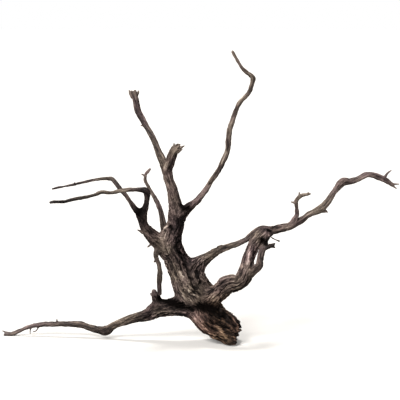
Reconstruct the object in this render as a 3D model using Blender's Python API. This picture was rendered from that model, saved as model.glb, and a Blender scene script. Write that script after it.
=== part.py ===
"""Aquarium driftwood: a torn root stump with its crooked limbs and roots, standing as it rests.

Frame: metres, +Z up. The origin is on the worn flat face under the stump, which stands on
Z = 0. +X runs along the long limb and +Y points to the back.

The wood grew as one piece, and it is divided at its main forks. A limb is a tube swept along a
crooked route. Where a limb leaves its fork, a thin saw cut across the route parts the two pieces.
"""
import random
from math import cos, pi, sin

import bmesh
import bpy
from mathutils import Vector

MM = 0.001

# Driving dimensions, in millimetres.
SAW_CUT = 0.3            # gap between two pieces that meet
RING_SPACING = 7.0       # length of a tube's facets along the limb
FLUTE_DEPTH = 0.07       # height of the flutes along a limb, as a share of its radius
FLUTE_TWIST = 38.0       # length of limb over which the flutes turn by one radian
STUMP_WIDENING = 1.32    # the stump's width front to back, over its width side to side
STUMP_STATIONS = 4       # the widening fades over this many stations
SPLINTER = 4.0           # how far the splinters stand out of a torn end, and its middle lies in
SPLINTER_SHARE = 0.5     # the most that they stand out, as a share of the limb's radius

# Sides of a tube, by its radius in millimetres.
SIDES = ((12.0, 18), (6.5, 12), (3.6, 9), (0.0, 7))

# Routes: x, y, z and radius in millimetres, from the thick end to the thin end.
ROUTES = {
    "stem": [
        (9.5, 3, 11.8, 15.8), (0, 3, 16.5, 18), (-11.5, 2, 24, 20), (-23.5, 1, 33.5, 21.8),
        (-36, 3, 52, 19), (-51.5, 5, 70, 18), (-60.7, 7, 90, 13.5), (-66.7, 8, 109, 14.2),
        (-72.8, 7, 123, 15.4), (-70.8, 5, 138, 13.5), (-65, 3, 153, 10.2), (-65, 2, 168, 8.7),
        (-67.5, 1, 182, 7.6), (-70, 0, 195, 6.6), (-74.5, 1, 207.5, 6), (-77.5, 2, 220, 6),
        (-83, 5, 232, 5), (-88, 9, 243.5, 4.1), (-93.5, 13, 257, 3.9), (-100, 18, 268.5, 3.7),
        (-107.5, 23, 281, 4.2), (-114, 28, 293, 4.5), (-116.5, 33, 305, 4.3), (-119.5, 37, 315, 4.5),
    ],
    "right_limb": [
        (-27, 2, 47, 16.5), (-30, 2, 62, 15), (-38, 3, 76, 12.5), (-41, 5, 90, 11.5),
        (-35.2, 7, 100.4, 9.6), (-24.2, 10, 108.6, 6.5), (-10.7, 13, 116.3, 5), (3, 15, 121.3, 4.1),
        (15, 17, 125.5, 3.5), (24, 18, 130, 3.6), (33.5, 19, 137.5, 4.6), (43, 20, 141.5, 5.6),
        (54, 22, 140.5, 5.4), (66, 25, 143, 5.4), (79, 29, 145, 4.9), (92, 34, 151, 4.4),
        (105, 39, 159, 3.8), (117.5, 44, 164, 4.8), (126.5, 47, 171.5, 4.5), (133.5, 50, 181, 3.9),
        (139, 53, 188, 3.8), (148.5, 56, 197.4, 5.3), (158, 60, 198, 4.2), (169, 64, 200.7, 3.7),
        (179, 67, 205.5, 3.9), (187, 69, 206, 4), (197, 71, 202.5, 4.2), (206, 73, 198.5, 3.9),
        (214, 75, 193, 2.8), (217, 76, 190.5, 1.6),
    ],
    "left_root": [
        (-28, 2, 47, 16.5), (-44, 4, 47, 14.5), (-61, 5, 47, 12.8), (-76, 7, 44, 10.3),
        (-89.5, 9, 41.2, 10), (-102.5, 11, 33.5, 7.7), (-115.5, 13, 29.5, 6.2),
        (-131, 16, 23.5, 5.1), (-146, 19, 16.8, 4.7), (-156, 21, 9.8, 6.3), (-167, 23, 10.7, 4.7),
        (-178, 25, 13, 4.2), (-190, 28, 16.7, 4.5), (-206, 30, 16.9, 3.6), (-224, 32, 16.4, 3.6),
        (-241, 34, 15, 3.3), (-256, 35, 12, 2.6), (-269, 36, 6.5, 2.6), (-279, 36, 2.2, 2.9),
        (-287, 36, 2, 2.3),
    ],
    "right_arm": [
        (-28, -2, 49, 15), (-19, -8, 60, 12), (-10, -13, 69, 10.7), (0.7, -17, 78.6, 10.6),
        (13, -19, 82.6, 9), (19.5, -18, 91, 8.8), (22.5, -15, 100, 8.2),
        (24.5, -10, 110, 7.5), (28.5, -4, 118.5, 7.5), (33, 2, 127, 7.8), (40, 8, 134, 8.2),
        (47.5, 12, 138, 7.3), (53, 14, 139, 4.8),
    ],
    "arm_prong": [
        (19, -18, 85.5, 8), (28.5, -18, 94.5, 6.3), (38.2, -16, 101.6, 5), (39.6, -13, 110, 4.2),
        (41.8, -9, 117.8, 4.1), (43.7, -5, 124, 3.5), (47, 1, 129, 4), (49, 10, 136, 4.4),
    ],
    "knuckle_spur": [(43, -6, 122, 3.3), (50, -8, 124, 2.4), (56, -10, 127, 2)],
    "tall_right": [
        (-65, 3, 162, 8), (-57.5, 0, 166.5, 7.8), (-49.5, -4, 174.5, 6), (-40, -9, 182, 4.7),
        (-28.8, -16, 196.3, 3.6), (-21, -23, 210, 3.4), (-12.5, -29, 223, 3.2),
        (-6.5, -35, 237, 3.4), (-2, -40, 249, 2.9), (-1, -44, 262, 3.2), (0.5, -48, 275, 3.3),
        (4, -52, 287, 3), (8, -55, 299, 2.9), (12, -58, 308, 2.9), (18.5, -61, 315.5, 2.7),
        (23.5, -63, 322.5, 2.8), (26, -65, 330.5, 2.8), (27, -66, 337, 3.4),
        (24, -67, 341.5, 2.8), (19.5, -68, 344.5, 2.4), (13.5, -70, 350.5, 2.1),
        (9, -72, 358, 1.9), (5, -74, 365, 1.9), (3, -75, 369, 1.8),
    ],
    "torn_stub": [
        (-77, 2, 219.5, 5.2), (-74, -2, 228, 5.7), (-71.5, -4, 235, 5.7), (-69.5, -6, 241, 5.4),
        (-66.8, -9, 246.5, 5.2), (-62, -12, 250, 4.4),
    ],
    "left_fork": [
        (-76, 5, 122, 10), (-88.5, 0, 130, 9.5), (-97, -5, 140, 8.3), (-105.2, -10, 152, 5.9),
        (-108, -14, 165, 6.2), (-114.5, -17, 172.5, 3.9), (-121, -18, 182, 2.9),
        (-126.5, -18, 190, 2.8), (-134, -16, 198, 2.7), (-140, -13, 206, 2.5),
        (-146, -10, 210.5, 2.6), (-154, -6, 210.5, 2.2), (-165, -1, 208.5, 2),
        (-177, 4, 205.5, 1.8), (-188, 8, 202.5, 1.7), (-199, 12, 199.5, 1.6),
        (-211, 16, 197, 1.4), (-222, 20, 194, 1.2),
    ],
    "left_lower": [
        (-108, -14, 165, 5), (-103.5, -18, 174.5, 4), (-101, -22, 184, 3.2),
        (-100.2, -27, 193.5, 3.9), (-103, -32, 199.2, 3.9), (-111, -36, 200.2, 2.9),
        (-121, -41, 201, 2.6), (-133, -46, 200, 2.4), (-144, -51, 198.6, 2.2),
        (-154, -55, 199.6, 2.5), (-163, -59, 197, 2.2), (-175, -64, 194.5, 2.2),
        (-186, -69, 193.5, 2.1), (-198, -74, 191, 1.8), (-206, -78, 191.5, 1.6),
        (-213, -81, 191, 1.4),
    ],
    "inner_twig": [
        (-76, 7, 133, 6.3), (-81, 10, 144, 4.8), (-83, 13, 155, 3.8), (-85, 15, 166, 3.4),
        (-89, 17, 176.5, 3), (-94.5, 19, 186, 2.5), (-100.5, 21, 196, 2.1), (-105, 22, 205, 2.1),
        (-104, 22, 212, 2), (-100.5, 21, 216.5, 1.8), (-98.5, 20, 219, 1.4),
    ],
    "hanging_twig": [
        (-82, 0, 126, 5.7), (-89, -4, 119, 4.2), (-90.5, -6, 111, 3.1), (-87, -6, 102, 2.8),
        (-86.1, -5, 93, 3), (-86.4, -3, 84, 3.6), (-86.9, -3, 75, 3), (-86.3, -3, 63.5, 3),
    ],
    "upright_twig": [
        (83, 31, 148, 4.2), (88, 29, 159, 3.4), (87.5, 26, 169, 2.4), (86.6, 24, 177, 2.7),
        (89, 22, 182.1, 2.6), (92.6, 20, 185.2, 2.5), (98, 18, 187, 2), (103, 17, 188, 1.4),
    ],
    "root_snag": [(-86, 8, 42, 6.5), (-90, 6, 54, 6.4), (-92.5, 5, 61, 4.8), (-93.5, 4, 65, 3.3)],
}

# Pieces: the stretches of routes that each is made of, as route, first and last station.
# A stretch that starts at station 0 grows out of the piece, and any other starts at a saw cut.
PIECES = {
    "trunk": [
        ("stem", 0, 10), ("right_limb", 0, 5), ("left_root", 0, 3), ("right_arm", 0, 2),
        ("left_fork", 0, 2), ("inner_twig", 0, 2), ("hanging_twig", 0, 2),
    ],
    "left_root": [("left_root", 3, 19), ("root_snag", 0, 3)],
    "right_arm": [("right_arm", 2, 7), ("arm_prong", 0, 3)],
    "arm_left_prong": [("right_arm", 7, 9)],
    "arm_right_prong": [("arm_prong", 3, 4)],
    "long_right_limb": [
        ("right_limb", 5, 29), ("right_arm", 9, 12), ("arm_prong", 4, 7), ("knuckle_spur", 0, 2),
        ("upright_twig", 0, 1),
    ],
    "upright_twig": [("upright_twig", 1, 7)],
    "upper_stem": [("stem", 10, 16), ("tall_right", 0, 2), ("torn_stub", 0, 2)],
    "tall_left_limb": [("stem", 16, 23)],
    "torn_stub": [("torn_stub", 2, 5)],
    "tall_right_limb": [("tall_right", 2, 23)],
    "left_fork_limb": [("left_fork", 2, 6), ("left_lower", 0, 2)],
    "left_upper_prong": [("left_fork", 6, 17)],
    "left_lower_prong": [("left_lower", 2, 15)],
    "inner_twig": [("inner_twig", 2, 10)],
    "hanging_twig": [("hanging_twig", 2, 7)],
}

# Ends that were torn off and stand up in splinters, as route and station.
TORN_ENDS = {("stem", 0), ("torn_stub", 5), ("stem", 23)}

# Linear colour and roughness of each piece's wood.
DARK_WOOD = ((0.050, 0.036, 0.029), 0.75)
STUMP_WOOD = ((0.062, 0.043, 0.031), 0.80)
TWIG_WOOD = ((0.072, 0.052, 0.040), 0.65)
FINISHES = {"trunk": STUMP_WOOD, "torn_stub": STUMP_WOOD}
FINISHES.update({name: TWIG_WOOD for name in PIECES if "twig" in name or "prong" in name})


def smooth(a, b, c, d, t):
    """A Catmull-Rom curve from b to c, at share t of the way."""
    return 0.5 * (2 * b + (c - a) * t + (2 * a - 5 * b + 4 * c - d) * t * t
                  + (3 * b - a - 3 * c + d) * t ** 3)


def station(route, place):
    """Centre and radius of a route at a place counted in stations, in millimetres."""
    last = len(route) - 1
    i = min(int(place), last - 1)
    near = [route[min(max(k, 0), last)] for k in (i - 1, i, i + 1, i + 2)]
    x, y, z, radius = (smooth(*axis, place - i) for axis in zip(*near))
    return Vector((x, y, z)), radius


def walk(route):
    """The rings of a whole route: place, centre, radius, two cross axes and distance walked."""
    places = []
    for i in range(len(route) - 1):
        span = (Vector(route[i + 1][:3]) - Vector(route[i][:3])).length
        steps = max(1, round(span / RING_SPACING))
        places += [i + k / steps for k in range(steps)]
    places.append(len(route) - 1)
    centres = [station(route, place)[0] for place in places]
    rings = []
    side = Vector((0, 1, 0))
    walked = 0.0
    for n, place in enumerate(places):
        ahead = centres[min(n + 1, len(places) - 1)]
        behind = centres[max(n - 1, 0)]
        along = (ahead - behind).normalized()
        side = (side - along * side.dot(along)).normalized()
        if n:
            walked += (centres[n] - centres[n - 1]).length
        rings.append({"place": place, "centre": centres[n], "radius": station(route, place)[1],
                      "along": along, "side": side, "up": along.cross(side), "walked": walked})
    return rings


def flute(angle, walked):
    """The lobed outline of a limb: its radius at an angle, over its mean radius."""
    turn = walked / FLUTE_TWIST
    return 1 + FLUTE_DEPTH * (0.6 * cos(3 * angle + turn) + 0.4 * cos(5 * angle - 2 * turn))


def ring_points(ring, sides, widening):
    """The corners of one ring of a tube."""
    points = []
    for n in range(sides):
        angle = 2 * pi * n / sides
        reach = ring["radius"] * flute(angle, ring["walked"])
        offset = (ring["side"] * cos(angle) + ring["up"] * sin(angle)) * reach
        offset.y *= widening
        points.append(ring["centre"] + offset)
    return points


def tube(route_name, first, last):
    """A closed tube along a stretch of a route, as a mesh in metres."""
    route = ROUTES[route_name]
    rings = [ring for ring in walk(route) if first <= ring["place"] <= last]
    thickest = max(ring["radius"] for ring in rings)
    sides = next(count for least, count in SIDES if thickest >= least)
    splinters = random.Random(route_name)
    loops = []
    middles = []
    for n, ring in enumerate(rings):
        fade = max(0.0, 1 - ring["place"] / STUMP_STATIONS) if route_name == "stem" else 0.0
        points = ring_points(ring, sides, 1 + (STUMP_WIDENING - 1) * fade)
        middle = ring["centre"].copy()
        outward = ring["along"] * (-1 if n == 0 else 1)
        if n == 0 and first > 0:
            shift = ring["along"] * SAW_CUT
            points = [point + shift for point in points]
            middle += shift
        elif (route_name, round(ring["place"], 3)) in TORN_ENDS and n in (0, len(rings) - 1):
            reach = min(SPLINTER, ring["radius"] * SPLINTER_SHARE)
            points = [point + outward * splinters.uniform(0, reach) for point in points]
            middle -= outward * reach
        loops.append(points)
        middles.append(middle)

    mesh = bpy.data.meshes.new(route_name)
    bm = bmesh.new()
    corners = [[bm.verts.new(point * MM) for point in points] for points in loops]
    for near, far in zip(corners, corners[1:]):
        for n in range(sides):
            following = (n + 1) % sides
            bm.faces.new((near[n], near[following], far[following], far[n]))
    for loop, middle, order in ((corners[0], middles[0], -1), (corners[-1], middles[-1], 1)):
        centre = bm.verts.new(middle * MM)
        for n in range(sides):
            edge = (loop[n], loop[(n + 1) % sides])[::order]
            bm.faces.new((*edge, centre))
    bmesh.ops.recalc_face_normals(bm, faces=bm.faces)
    bm.to_mesh(mesh)
    bm.free()
    return mesh


def wood(name):
    """A plain wood material for one piece."""
    colour, roughness = FINISHES.get(name, DARK_WOOD)
    material = bpy.data.materials.new(f"{name}_wood")
    material.use_nodes = True
    shader = material.node_tree.nodes["Principled BSDF"]
    shader.inputs["Base Color"].default_value = (*colour, 1.0)
    shader.inputs["Roughness"].default_value = roughness
    shader.inputs["Metallic"].default_value = 0.0
    return material


def add_object(name, mesh):
    """Puts a mesh in the scene under a name."""
    part = bpy.data.objects.new(name, mesh)
    bpy.context.scene.collection.objects.link(part)
    return part


def combine(piece, tool, operation):
    """Joins a tool to a piece, or cuts it away, and leaves the tool as a hidden guide."""
    tool.hide_render = True
    tool.display_type = "WIRE"
    modifier = piece.modifiers.new(tool.name, "BOOLEAN")
    modifier.operation = operation
    modifier.solver = "EXACT"
    modifier.object = tool


def ground_block():
    """A block whose top is the surface that the wood stands on."""
    mesh = bpy.data.meshes.new("ground")
    bm = bmesh.new()
    bmesh.ops.create_cube(bm, size=1.0)
    bmesh.ops.translate(bm, verts=bm.verts, vec=(0, 0, -0.5))
    bm.to_mesh(mesh)
    bm.free()
    return add_object("ground_cutter", mesh)


def build():
    """Makes every piece."""
    for old in list(bpy.data.objects):
        bpy.data.objects.remove(old)
    ground = ground_block()
    for name, stretches in PIECES.items():
        piece = add_object(name, tube(*stretches[0]))
        piece.data.materials.append(wood(name))
        for stretch in stretches[1:]:
            branch = add_object(f"{name}_{stretch[0]}_branch", tube(*stretch))
            combine(piece, branch, "UNION")
        if name in ("trunk", "left_root"):
            combine(piece, ground, "DIFFERENCE")


build()
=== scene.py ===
"""Looks of the aquarium driftwood root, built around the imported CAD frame.

Every CAD piece is replaced by a finer one of the same place and size. The wood is one implicit
surface: tubes along the limbs' routes, melted together at the forks. Each piece is meshed from
it, cut at the same saw planes as its CAD solid, and carved with fissures that follow the grain.
Lengths here are in millimetres until a mesh is written.
"""

from math import radians

import bpy
import numpy as np
import openvdb as vdb
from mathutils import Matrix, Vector


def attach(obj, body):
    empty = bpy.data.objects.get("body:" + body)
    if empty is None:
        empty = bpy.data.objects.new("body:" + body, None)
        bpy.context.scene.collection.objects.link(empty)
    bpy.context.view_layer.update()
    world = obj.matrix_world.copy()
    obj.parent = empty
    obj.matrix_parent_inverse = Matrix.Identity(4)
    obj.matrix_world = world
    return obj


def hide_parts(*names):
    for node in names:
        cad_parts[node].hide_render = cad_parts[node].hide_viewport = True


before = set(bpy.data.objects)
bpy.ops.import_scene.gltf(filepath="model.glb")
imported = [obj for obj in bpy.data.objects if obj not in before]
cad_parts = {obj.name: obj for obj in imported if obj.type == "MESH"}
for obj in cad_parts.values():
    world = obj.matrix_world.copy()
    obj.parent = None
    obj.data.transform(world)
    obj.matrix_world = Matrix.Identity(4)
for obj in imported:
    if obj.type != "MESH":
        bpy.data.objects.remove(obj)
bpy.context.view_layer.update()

MM = 0.001

# --- Camera, lamps and floor ---

CAMERA_TARGET = (-0.0355, 0.0, 0.1826)
CAMERA_ELEVATION = 8.0
CAMERA_DISTANCE = 1.6667
CAMERA_LENS = 120.0
CAMERA_SENSOR = 36.0
# Each lamp's name, strength, angular size in degrees, and the place that it shines from.
LAMPS = (("key", 3.4, 24.0, (-0.85, -1.3, 1.3)), ("overhead", 2.1, 14.0, (-0.05, 0.16, 1.0)))
ROOM_LIGHT = 0.26
FLOOR_SIZE = 60.0

# --- The wood's routes: x, y, z and radius at each station, as in the CAD model ---

ROUTES = {
    "stem": [
        (9.5, 3, 11.8, 15.8), (0, 3, 16.5, 18), (-11.5, 2, 24, 20), (-23.5, 1, 33.5, 21.8),
        (-36, 3, 52, 19), (-51.5, 5, 70, 18), (-60.7, 7, 90, 13.5), (-66.7, 8, 109, 14.2),
        (-72.8, 7, 123, 15.4), (-70.8, 5, 138, 13.5), (-65, 3, 153, 10.2), (-65, 2, 168, 8.7),
        (-67.5, 1, 182, 7.6), (-70, 0, 195, 6.6), (-74.5, 1, 207.5, 6), (-77.5, 2, 220, 6),
        (-83, 5, 232, 5), (-88, 9, 243.5, 4.1), (-93.5, 13, 257, 3.9), (-100, 18, 268.5, 3.7),
        (-107.5, 23, 281, 4.2), (-114, 28, 293, 4.5), (-116.5, 33, 305, 4.3), (-119.5, 37, 315, 4.5),
    ],
    "right_limb": [
        (-27, 2, 47, 16.5), (-30, 2, 62, 15), (-38, 3, 76, 12.5), (-41, 5, 90, 11.5),
        (-35.2, 7, 100.4, 9.6), (-24.2, 10, 108.6, 6.5), (-10.7, 13, 116.3, 5), (3, 15, 121.3, 4.1),
        (15, 17, 125.5, 3.5), (24, 18, 130, 3.6), (33.5, 19, 137.5, 4.6), (43, 20, 141.5, 5.6),
        (54, 22, 140.5, 5.4), (66, 25, 143, 5.4), (79, 29, 145, 4.9), (92, 34, 151, 4.4),
        (105, 39, 159, 3.8), (117.5, 44, 164, 4.8), (126.5, 47, 171.5, 4.5), (133.5, 50, 181, 3.9),
        (139, 53, 188, 3.8), (148.5, 56, 197.4, 5.3), (158, 60, 198, 4.2), (169, 64, 200.7, 3.7),
        (179, 67, 205.5, 3.9), (187, 69, 206, 4), (197, 71, 202.5, 4.2), (206, 73, 198.5, 3.9),
        (214, 75, 193, 2.8), (217, 76, 190.5, 1.6),
    ],
    "left_root": [
        (-28, 2, 47, 16.5), (-44, 4, 47, 14.5), (-61, 5, 47, 12.8), (-76, 7, 44, 10.3),
        (-89.5, 9, 41.2, 10), (-102.5, 11, 33.5, 7.7), (-115.5, 13, 29.5, 6.2), (-131, 16, 23.5, 5.1),
        (-146, 19, 16.8, 4.7), (-156, 21, 9.8, 6.3), (-167, 23, 10.7, 4.7), (-178, 25, 13, 4.2),
        (-190, 28, 16.7, 4.5), (-206, 30, 16.9, 3.6), (-224, 32, 16.4, 3.6), (-241, 34, 15, 3.3),
        (-256, 35, 12, 2.6), (-269, 36, 6.5, 2.6), (-279, 36, 2.2, 2.9), (-287, 36, 2, 2.3),
    ],
    "right_arm": [
        (-28, -2, 49, 15), (-19, -8, 60, 12), (-10, -13, 69, 10.7), (0.7, -17, 78.6, 10.6),
        (13, -19, 82.6, 9), (19.5, -18, 91, 8.8), (22.5, -15, 100, 8.2), (24.5, -10, 110, 7.5),
        (28.5, -4, 118.5, 7.5), (33, 2, 127, 7.8), (40, 8, 134, 8.2), (47.5, 12, 138, 7.3),
        (53, 14, 139, 4.8),
    ],
    "arm_prong": [
        (19, -18, 85.5, 8), (28.5, -18, 94.5, 6.3), (38.2, -16, 101.6, 5), (39.6, -13, 110, 4.2),
        (41.8, -9, 117.8, 4.1), (43.7, -5, 124, 3.5), (47, 1, 129, 4), (49, 10, 136, 4.4),
    ],
    "knuckle_spur": [(43, -6, 122, 3.3), (50, -8, 124, 2.4), (56, -10, 127, 2)],
    "tall_right": [
        (-65, 3, 162, 8), (-57.5, 0, 166.5, 7.8), (-49.5, -4, 174.5, 6), (-40, -9, 182, 4.7),
        (-28.8, -16, 196.3, 3.6), (-21, -23, 210, 3.4), (-12.5, -29, 223, 3.2), (-6.5, -35, 237, 3.4),
        (-2, -40, 249, 2.9), (-1, -44, 262, 3.2), (0.5, -48, 275, 3.3), (4, -52, 287, 3),
        (8, -55, 299, 2.9), (12, -58, 308, 2.9), (18.5, -61, 315.5, 2.7), (23.5, -63, 322.5, 2.8),
        (26, -65, 330.5, 2.8), (27, -66, 337, 3.4), (24, -67, 341.5, 2.8), (19.5, -68, 344.5, 2.4),
        (13.5, -70, 350.5, 2.1), (9, -72, 358, 1.9), (5, -74, 365, 1.9), (3, -75, 369, 1.8),
    ],
    "torn_stub": [
        (-77, 2, 219.5, 5.2), (-74, -2, 228, 5.7), (-71.5, -4, 235, 5.7), (-69.5, -6, 241, 5.4),
        (-66.8, -9, 246.5, 5.2), (-62, -12, 250, 4.4),
    ],
    "left_fork": [
        (-76, 5, 122, 10), (-88.5, 0, 130, 9.5), (-97, -5, 140, 8.3), (-105.2, -10, 152, 5.9),
        (-108, -14, 165, 6.2), (-114.5, -17, 172.5, 3.9), (-121, -18, 182, 2.9), (-126.5, -18, 190, 2.8),
        (-134, -16, 198, 2.7), (-140, -13, 206, 2.5), (-146, -10, 210.5, 2.6), (-154, -6, 210.5, 2.2),
        (-165, -1, 208.5, 2), (-177, 4, 205.5, 1.8), (-188, 8, 202.5, 1.7), (-199, 12, 199.5, 1.6),
        (-211, 16, 197, 1.4), (-222, 20, 194, 1.2),
    ],
    "left_lower": [
        (-108, -14, 165, 5), (-103.5, -18, 174.5, 4), (-101, -22, 184, 3.2), (-100.2, -27, 193.5, 3.9),
        (-103, -32, 199.2, 3.9), (-111, -36, 200.2, 2.9), (-121, -41, 201, 2.6), (-133, -46, 200, 2.4),
        (-144, -51, 198.6, 2.2), (-154, -55, 199.6, 2.5), (-163, -59, 197, 2.2), (-175, -64, 194.5, 2.2),
        (-186, -69, 193.5, 2.1), (-198, -74, 191, 1.8), (-206, -78, 191.5, 1.6), (-213, -81, 191, 1.4),
    ],
    "inner_twig": [
        (-76, 7, 133, 6.3), (-81, 10, 144, 4.8), (-83, 13, 155, 3.8), (-85, 15, 166, 3.4),
        (-89, 17, 176.5, 3), (-94.5, 19, 186, 2.5), (-100.5, 21, 196, 2.1), (-105, 22, 205, 2.1),
        (-104, 22, 212, 2), (-100.5, 21, 216.5, 1.8), (-98.5, 20, 219, 1.4),
    ],
    "hanging_twig": [
        (-82, 0, 126, 5.7), (-89, -4, 119, 4.2), (-90.5, -6, 111, 3.1), (-87, -6, 102, 2.8),
        (-86.1, -5, 93, 3), (-86.4, -3, 84, 3.6), (-86.9, -3, 75, 3), (-86.3, -3, 63.5, 3),
    ],
    "upright_twig": [
        (83, 31, 148, 4.2), (88, 29, 159, 3.4), (87.5, 26, 169, 2.4), (86.6, 24, 177, 2.7),
        (89, 22, 182.1, 2.6), (92.6, 20, 185.2, 2.5), (98, 18, 187, 2), (103, 17, 188, 1.4),
    ],
    "root_snag": [(-86, 8, 42, 6.5), (-90, 6, 54, 6.4), (-92.5, 5, 61, 4.8), (-93.5, 4, 65, 3.3)],
}

# Pieces: route, first and last station of each stretch, as in the CAD model.
PIECES = {
    "trunk": [
        ("stem", 0, 10), ("right_limb", 0, 5), ("left_root", 0, 3), ("right_arm", 0, 2),
        ("left_fork", 0, 2), ("inner_twig", 0, 2), ("hanging_twig", 0, 2),
    ],
    "left_root": [("left_root", 3, 19), ("root_snag", 0, 3)],
    "right_arm": [("right_arm", 2, 7), ("arm_prong", 0, 3)],
    "arm_left_prong": [("right_arm", 7, 9)],
    "arm_right_prong": [("arm_prong", 3, 4)],
    "long_right_limb": [
        ("right_limb", 5, 29), ("right_arm", 9, 12), ("arm_prong", 4, 7), ("knuckle_spur", 0, 2),
        ("upright_twig", 0, 1),
    ],
    "upright_twig": [("upright_twig", 1, 7)],
    "upper_stem": [("stem", 10, 16), ("tall_right", 0, 2), ("torn_stub", 0, 2)],
    "tall_left_limb": [("stem", 16, 23)],
    "torn_stub": [("torn_stub", 2, 5)],
    "tall_right_limb": [("tall_right", 2, 23)],
    "left_fork_limb": [("left_fork", 2, 6), ("left_lower", 0, 2)],
    "left_upper_prong": [("left_fork", 6, 17)],
    "left_lower_prong": [("left_lower", 2, 15)],
    "inner_twig": [("inner_twig", 2, 10)],
    "hanging_twig": [("hanging_twig", 2, 7)],
}
THIN_PIECES = {
    "upright_twig", "left_upper_prong", "left_lower_prong", "inner_twig", "hanging_twig",
}
VOXEL = 0.50  # fineness of a piece's mesh
OTHER_VOXELS = {"trunk": 0.64, "tall_right_limb": 0.45, **dict.fromkeys(THIN_PIECES, 0.42)}

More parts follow.
